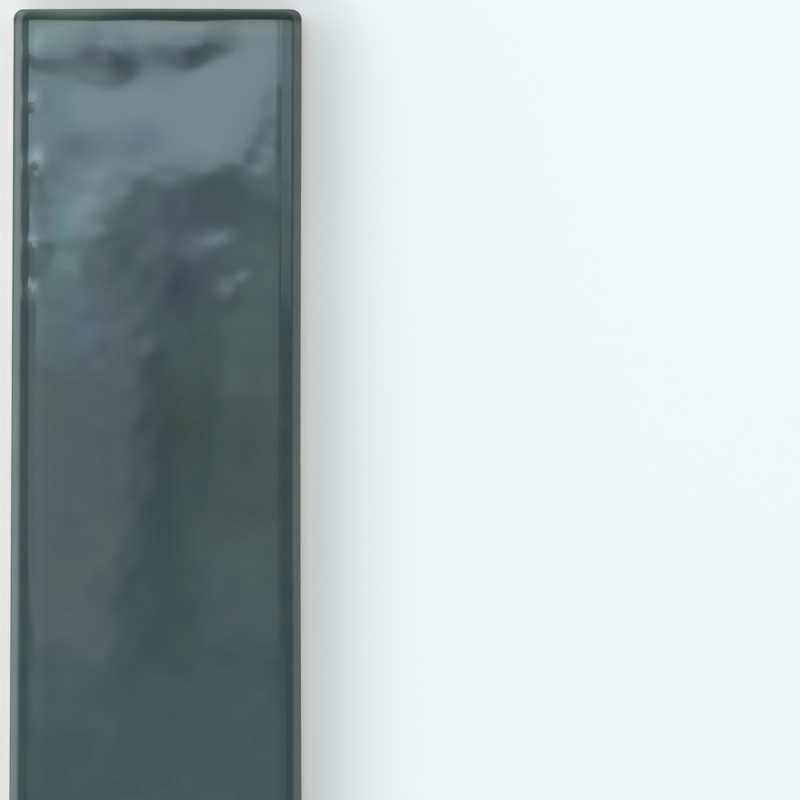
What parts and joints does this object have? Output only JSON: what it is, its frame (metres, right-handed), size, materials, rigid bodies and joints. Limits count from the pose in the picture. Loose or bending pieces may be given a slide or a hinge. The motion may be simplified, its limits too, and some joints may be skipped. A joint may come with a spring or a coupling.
{
  "type": "glazed ceramic wall tile",
  "caption": "Long bar-format wall tile of pressed ceramic with a rippled glossy glazed face, rounded rim and ribbed unglazed back.",
  "frame": {"origin": "middle of the back face, on the middle rib, with the tile lying on its back", "axes": "+X across the tile, +Y along it to the narrower head end, +Z out of the glazed face"},
  "size_m": [0.065, 0.2, 0.0089],
  "materials": {
    "glazed_ceramic": "gloss"
  },
  "bodies": {
    "root": {"tile": "glazed_ceramic"}
  },
  "joints": []
}
